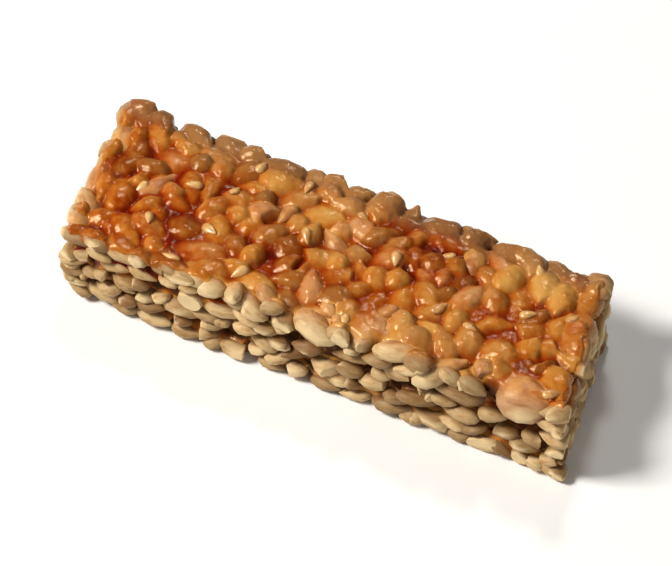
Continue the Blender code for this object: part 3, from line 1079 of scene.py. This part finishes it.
caramelLook = {
    # kernels under the film, by tone
    "underStops": ((0.05, (0.32, 0.155, 0.05)), (0.3, (0.50, 0.27, 0.10)), (0.7, (0.60, 0.365, 0.115)),
                   (0.84, (0.62, 0.38, 0.13)), (0.9, (0.57, 0.33, 0.18))),
    "lets": (0.55, 0.19, 0.038),  # share of red, green and blue that a millimetre of sugar lets through
    "least": 0.30,  # mm of sugar over the barest crest
    "most": 2.5,
    "mostFilm": 1.6,
    "spread": 0.15,  # mm of sugar everywhere
    "hollowSugarAndShade": 1.08,  # mm more sugar in the deepest hollow, darkening it both as pooled sugar and as painted shade
    "mottle": 0.9,  # mm between the thinnest and the thickest of the fine mottling
    "cloud": 0.7,
    "brownLeast": 0.62,  # golden sugar dyes this much, and red-brown so much more
    "brownMore": 1.25,
    "backShadeColour": (0.235, 0.125, 0.050),  # painted shade along the back edge
    "cutShadeColour": (0.060, 0.017, 0.003),  # painted shade between kernels at a cut
    "gloss": 0.16,
    "dullAndShade": 0.5,  # rougher by this much where shade is painted at a cut
    "mottleScale": 750,
    "cloudScale": 240,
    "rippleScale": 1300,
    "rippleDepth": 0.14 * mm,
    "sockets": {
        "IOR": 1.42,
        "Specular IOR Level": 0.35,
        "Specular Tint": (1.0, 0.74, 0.44, 1),
        "Subsurface Weight": 0.06,
        "Subsurface Radius": (1.0, 0.35, 0.1),
        "Subsurface Scale": 0.6 * mm,
        "Coat Weight": 0.02,
        "Coat Roughness": 0.06,
    },
}


def caramelFinish():
    # what a kernel's colour keeps after so many millimetres of sugar: each of red, green and blue is the
    # share let through by one millimetre, raised to the sugar's depth there
    finish, nodes, links, shader = newFinish("amberCaramel")
    look = caramelLook

    def wobble(scale, detail, height):
        noise = addNoise(nodes, links, scale, detail, 0.6)
        return addMath(nodes, links, "MULTIPLY", addMath(nodes, links, "SUBTRACT", noise, 0.5), height)

    depth = addMath(nodes, links, "MULTIPLY", readNumber(nodes, "film"), 1 / mm)
    depth = addMath(nodes, links, "MINIMUM", depth, look["mostFilm"])
    depth = addMath(nodes, links, "ADD", depth, look["spread"])
    # deeper hollows count as more sugar: pooled sugar, and painted shade in the crevices
    sunk = addMath(nodes, links, "MULTIPLY", readNumber(nodes, "hollow"), look["hollowSugarAndShade"])
    depth = addMath(nodes, links, "ADD", depth, sunk)
    depth = addMath(nodes, links, "ADD", depth, wobble(look["mottleScale"], 4.0, look["mottle"]))
    depth = addMath(nodes, links, "ADD", depth, wobble(look["cloudScale"], 3.0, look["cloud"]))
    depth = addMath(nodes, links, "MAXIMUM", depth, look["least"])
    browned = addMath(nodes, links, "MULTIPLY", readNumber(nodes, "browned"), look["brownMore"])
    browned = addMath(nodes, links, "ADD", browned, look["brownLeast"])
    depth = addMath(nodes, links, "MULTIPLY", depth, browned)
    depth = addMath(nodes, links, "MINIMUM", depth, look["most"])
    dye = addNode(nodes, "ShaderNodeCombineColor")
    for socket, share in zip(dye.inputs, look["lets"]):
        links.new(addMath(nodes, links, "POWER", share, depth), socket)
    kernel = addRamp(nodes, links, readNumber(nodes, "under"), look["underStops"], "LINEAR")
    colour = addMix(nodes, links, 1.0, kernel, dye.outputs["Color"], "MULTIPLY")
    # painted shade along the back edge
    colour = addMix(nodes, links, readNumber(nodes, "dullAndShade"), colour, look["backShadeColour"])
    # painted shade between kernels at the cuts
    colour = addMix(nodes, links, readNumber(nodes, "shade"), colour, look["cutShadeColour"])
    links.new(colour, shader.inputs["Base Color"])
    dullAndShade = addMath(nodes, links, "MULTIPLY", readNumber(nodes, "shade"), look["dullAndShade"])
    links.new(addMath(nodes, links, "ADD", dullAndShade, look["gloss"]), shader.inputs["Roughness"])
    setSockets(shader, look["sockets"])
    ripples = addNoise(nodes, links, look["rippleScale"], 4.0, 0.6)
    links.new(addBump(nodes, links, ripples, 0.6, look["rippleDepth"]), shader.inputs["Normal"])
    return finish


kernelLook = {
    "pale": (0.62, 0.455, 0.235),
    "cream": (0.46, 0.325, 0.155),
    "straw": (0.31, 0.21, 0.098),
    "toasted": (0.19, 0.105, 0.042),
    "rosy": (0.46, 0.26, 0.13),
    "sliced": (0.70, 0.52, 0.275),
    "gapShade": (0.10, 0.040, 0.012),  # painted shade in the gaps behind the cut
    "streak": (0.58, 0.44, 0.30),
    "glazed": (0.60, 0.25, 0.055),
    "glazedDeep": (0.36, 0.09, 0.012),
    "roughness": 0.55,
    "smoother": 0.32,  # by this much under glaze
    "streaks": 0.8,
    "streakScale": 0.9,  # a millimetre
    "glazeScale": 350,
    "wrinkleScale": 1.6,
    "wrinkleDepth": 0.25 * mm,
    "sockets": {
        "Subsurface Weight": 0.12,
        "Subsurface Radius": (1.0, 0.6, 0.3),
        "Subsurface Scale": 0.5 * mm,
        "Specular IOR Level": 0.3,
        "Specular Tint": (1.0, 0.84, 0.60, 1),
        "Coat Weight": 0.02,
        "Coat Roughness": 0.15,
    },
}


def kernelFinish():
    # each kernel has a tone of its own, glaze where it faces the top, and bright flesh where sliced
    finish, nodes, links, shader = newFinish("toastedKernel")
    look = kernelLook
    stops = ((0.0, look["toasted"]), (0.2, look["straw"]), (0.55, look["cream"]))
    stops += ((0.82, look["pale"]), (0.86, look["pale"]), (0.9, look["rosy"]))
    bare = addRamp(nodes, links, readNumber(nodes, "tone"), stops, "LINEAR")
    streaks = addNoise(nodes, links, look["streakScale"], 4.0, 0.6, place=readGrain(nodes, links, 0.3))
    speck = addRamp(nodes, links, streaks, ((0.32, look["streak"]), (0.58, (1, 1, 1))))
    bare = addMix(nodes, links, look["streaks"], bare, speck, "MULTIPLY")
    bare = addMix(nodes, links, readNumber(nodes, "sliced"), bare, look["sliced"])
    glaze = readNumber(nodes, "glaze")
    cloud = addNoise(nodes, links, look["glazeScale"], 3.0)
    film = addRamp(nodes, links, cloud, ((0.35, look["glazedDeep"]), (0.62, look["glazed"])))
    colour = addMix(nodes, links, glaze, bare, film)
    # painted shade along the back edge
    colour = addMix(nodes, links, readNumber(nodes, "dullAndShade"), colour, caramelLook["backShadeColour"])
    # painted shade in the gaps behind the cuts
    colour = addMix(nodes, links, readNumber(nodes, "gapShade"), colour, look["gapShade"])
    links.new(colour, shader.inputs["Base Color"])
    smoother = addMath(nodes, links, "MULTIPLY", glaze, look["smoother"])
    roughness = addMath(nodes, links, "SUBTRACT", look["roughness"], smoother)
    links.new(roughness, shader.inputs["Roughness"])
    setSockets(shader, look["sockets"])
    wrinkles = addNoise(nodes, links, look["wrinkleScale"], 4.0, 0.6, place=readGrain(nodes, links, 0.35))
    links.new(addBump(nodes, links, wrinkles, 0.5, look["wrinkleDepth"]), shader.inputs["Normal"])
    return finish


sesameLook = {
    "pale": (0.64, 0.36, 0.12),
    "toasted": (0.46, 0.20, 0.05),
    "cloudScale": 500,
    "grainScale": 4000,
    "grainDepth": 0.05 * mm,
    "sockets": {
        "Roughness": 0.3,
        "Subsurface Weight": 0.1,
        "Subsurface Radius": (1.0, 0.6, 0.3),
        "Subsurface Scale": 0.4 * mm,
        "Coat Weight": 0.2,
        "Coat Roughness": 0.12,
    },
}


def sesameFinish():
    finish, nodes, links, shader = newFinish("sesameSeed")
    look = sesameLook
    cloud = addNoise(nodes, links, look["cloudScale"], 3.0)
    colour = addRamp(nodes, links, cloud, ((0.35, look["toasted"]), (0.6, look["pale"])))
    links.new(colour, shader.inputs["Base Color"])
    setSockets(shader, look["sockets"])
    grain = addNoise(nodes, links, look["grainScale"], 3.0)
    links.new(addBump(nodes, links, grain, 0.3, look["grainDepth"]), shader.inputs["Normal"])
    return finish


amberCaramel = caramelFinish()
sesameSeed = sesameFinish()
toastedKernel = kernelFinish()


# Where shade is painted on the sugar at the cuts, and how deep a hollow is, in mm, for none and for all
# of its sugar
cutShade = {
    "fromCut": (-5.5 * mm, -3.5 * mm),
    "heights": (0.93, 0.78),
    "film": (0.02 * mm, 0.3 * mm),
    "foot": (0.1 * mm, 0.8 * mm),
    "hollow": (-0.35, 1.25),
}


def addCaramelPiece(name, draped):
    # painted shade of a cut lies on the sugar between kernels there
    points = draped["points"]
    outermost = cutDistances(points).max(axis=1)
    shade = easeBetween(*cutShade["fromCut"], outermost)
    shade = shade * easeBetween(*cutShade["heights"], points[:, 2] / barHeight)
    shade = shade * easeBetween(*cutShade["film"], draped["film"])
    shade = shade * easeBetween(*cutShade["foot"], points[:, 2])
    numbers = {
        "film": draped["film"],
        "under": draped["under"],
        "browned": browningAt(points),
        # painted shade along the back edge
        "dullAndShade": backShadeAt(points),
        "hollow": easeBetween(*cutShade["hollow"], hollowAt(points)),
        "shade": shade,
    }
    piece = newPiece(name, points, [draped["quads"], draped["fan"]], numbers)
    piece.data.materials.append(amberCaramel)
    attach(piece, barBody)
    return piece


# How much glaze lies on the kernels, and how much shade is painted on them in the gaps behind the cuts
kernelGlaze = {
    "fromEdge": (0.3 * mm, 1.5 * mm),
    "fromFront": (1.2 * mm, 3.4 * mm),
    "heights": (0.55, 0.8),
    "least": 0.10,
    "inner": 0.35,
    "innerFrom": (0.6, 2.0),  # mm inside a cut
    "onBare": 0.72,
    "snappedFlesh": 0.8,
    "gapShade": 0.9,
    "gapShadeFrom": (0.55, 1.9),
    "gapShadeHeights": (0.92, 0.75),
}


def addKernelPiece(name, chosen):
    # one piece of many kernels, sliced where the knife met them
    batch = {key: value[chosen] for key, value in kernels.items()}
    points, snapped, grain = kernelPoints(batch)
    points, sliced = sliceByKnife(points, batch)
    walls = cutDistances(points)[..., :4]
    front = walls[..., 0]
    outer = (walls - np.array(kernelForm["glazedOver"])).max(axis=2)
    height = points[..., 2] / barHeight
    look = kernelGlaze
    glaze = np.minimum(easeBetween(*look["fromEdge"], -outer), easeBetween(*look["fromFront"], -front))
    glaze = glaze * easeBetween(*look["heights"], height)
    inner = look["inner"] * easeBetween(*look["innerFrom"], -outer / mm)
    glaze = np.clip(glaze + look["least"] + inner, 0, 1) * (1 - sliced)
    glaze = glaze * np.where(batch["coated"], 1.0, look["onBare"])[:, None]
    sliced = np.maximum(sliced, snapped * look["snappedFlesh"])
    # painted shade deep in the gaps behind the cuts
    gapShade = look["gapShade"] * easeBetween(*look["gapShadeFrom"], -walls.max(axis=2) / mm)
    gapShade = gapShade * easeBetween(*look["gapShadeHeights"], height)
    tone = np.broadcast_to(batch["tone"][:, None], sliced.shape)
    quads, triangles = gridFaces(len(batch["tone"]), kernelForm["rings"], kernelForm["around"])
    # painted shade along the back edge
    dullAndShade = backShadeAt(points)
    numbers = {"tone": tone, "sliced": sliced, "glaze": glaze, "gapShade": gapShade, "dullAndShade": dullAndShade}
    piece = newPiece(name, points, [quads, triangles], numbers, {"grain": grain}, kernelForm["sharpFrom"])
    piece.data.materials.append(toastedKernel)
    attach(piece, barBody)
    print(name, "made:", len(batch["tone"]), "kernels")


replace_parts(addCaramelPiece("caramelTop", upperCaramel), "seed_bar")
addCaramelPiece("caramelCore", lowerCaramel)
addKernelPiece("topKernels", kernels["course"] == topCourse)
addKernelPiece("sideKernels", (kernels["course"] < topCourse) & (kernels["course"] > 0))
addKernelPiece("bottomKernels", kernels["course"] == 0)


def addSesamePiece():
    dice = np.random.default_rng(sesameForm["seed"])
    points = upperCaramel["points"]
    normals = normalsAt(points, upperCaramel["quads"])
    chosen = spreadSeeds(dice, points, normals)
    seeds = sesamePoints(dice, points[chosen], normals[chosen])
    faces = gridFaces(len(chosen), sesameForm["rings"], sesameForm["around"])
    piece = newPiece("sesame", seeds, faces, {})
    piece.data.materials.append(sesameSeed)
    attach(piece, barBody)
    print("sesame seeds laid:", len(chosen))


addSesamePiece()


# Floor, lights and camera
stageLook = {
    "floorSize": 3.0,
    "floorColour": (0.86, 0.85, 0.83),
    "floorCloud": (0.89, 0.88, 0.86),
    "skyStrength": 0.10,
    "azimuth": 27,
    "elevation": 48,
    "distance": 0.65,
    "share": 0.92,  # of the picture's width that the bar fills
}


def layFloor():
    half = stageLook["floorSize"] / 2
    corners = [(-half, -half, 0), (half, -half, 0), (half, half, 0), (-half, half, 0)]
    mesh = bpy.data.meshes.new("paleFloor")
    mesh.from_pydata(corners, [], [(0, 1, 2, 3)])
    floor = bpy.data.objects.new("paleFloor", mesh)
    bpy.context.scene.collection.objects.link(floor)
    finish, nodes, links, shader = newFinish("paleFloor")
    cloud = addNoise(nodes, links, 30, 3.0)
    stops = ((0.3, stageLook["floorColour"]), (0.7, stageLook["floorCloud"]))
    tint = addRamp(nodes, links, cloud, stops)
    links.new(tint, shader.inputs["Base Color"])
    shader.inputs["Roughness"].default_value = 0.6
    mesh.materials.append(finish)


# Each lamp's azimuth and elevation, in degrees, distance and size, in metres, power and colour
lampLook = {
    "keyLamp": (-58, 46, 0.9, 0.26, 10.8, (1.0, 0.98, 0.95)),
    "fillLamp": (60, 30, 1.0, 0.7, 1.9, (1.0, 0.98, 0.95)),
    "glintLamp": (200, 50, 0.8, 0.12, 1.5, (1.0, 1.0, 1.0)),
}


def viewFrom(azimuth, elevation):
    # which way a place at those angles, in degrees, lies, and the turn that faces back from there
    a, e = azimuth * turnDegree, elevation * turnDegree
    towards = np.array([math.sin(a) * math.cos(e), -math.cos(a) * math.cos(e), math.sin(e)])
    return towards, (math.pi / 2 - e, 0, a)


def hangLamp(name, azimuth, elevation, distance, size, watts, colour):
    # a square soft lamp that faces the bar
    lamp = bpy.data.lights.new(name, "AREA")
    lamp.size = size
    lamp.energy = watts
    lamp.color = colour
    item = bpy.data.objects.new(name, lamp)
    towards, item.rotation_euler = viewFrom(azimuth, elevation)
    item.location = towards * distance
    bpy.context.scene.collection.objects.link(item)


def setSky():
    world = bpy.data.worlds.new("paleRoom")
    world.use_nodes = True
    background = world.node_tree.nodes["Background"]
    background.inputs["Color"].default_value = (1.0, 0.985, 0.96, 1)
    background.inputs["Strength"].default_value = stageLook["skyStrength"]
    bpy.context.scene.world = world
    bpy.context.scene.view_settings.view_transform = "Standard"


def setCamera():
    # as far off and with such a lens that the bar's width takes up its share of the picture
    a = stageLook["azimuth"] * turnDegree
    span = np.abs(barSize[:2] * np.array([math.cos(a), math.sin(a)])).sum()
    camera = bpy.data.cameras.new("camera")
    camera.sensor_width = 36
    camera.lens = camera.sensor_width * stageLook["distance"] / (span / stageLook["share"])
    item = bpy.data.objects.new("camera", camera)
    towards, item.rotation_euler = viewFrom(stageLook["azimuth"], stageLook["elevation"])
    item.location = np.array([0, 0, barHeight / 2]) + towards * stageLook["distance"]
    bpy.context.scene.collection.objects.link(item)
    bpy.context.scene.camera = item


layFloor()
for name, values in lampLook.items():
    hangLamp(name, *values)
setSky()
setCamera()
print("floor, lamps and camera set")
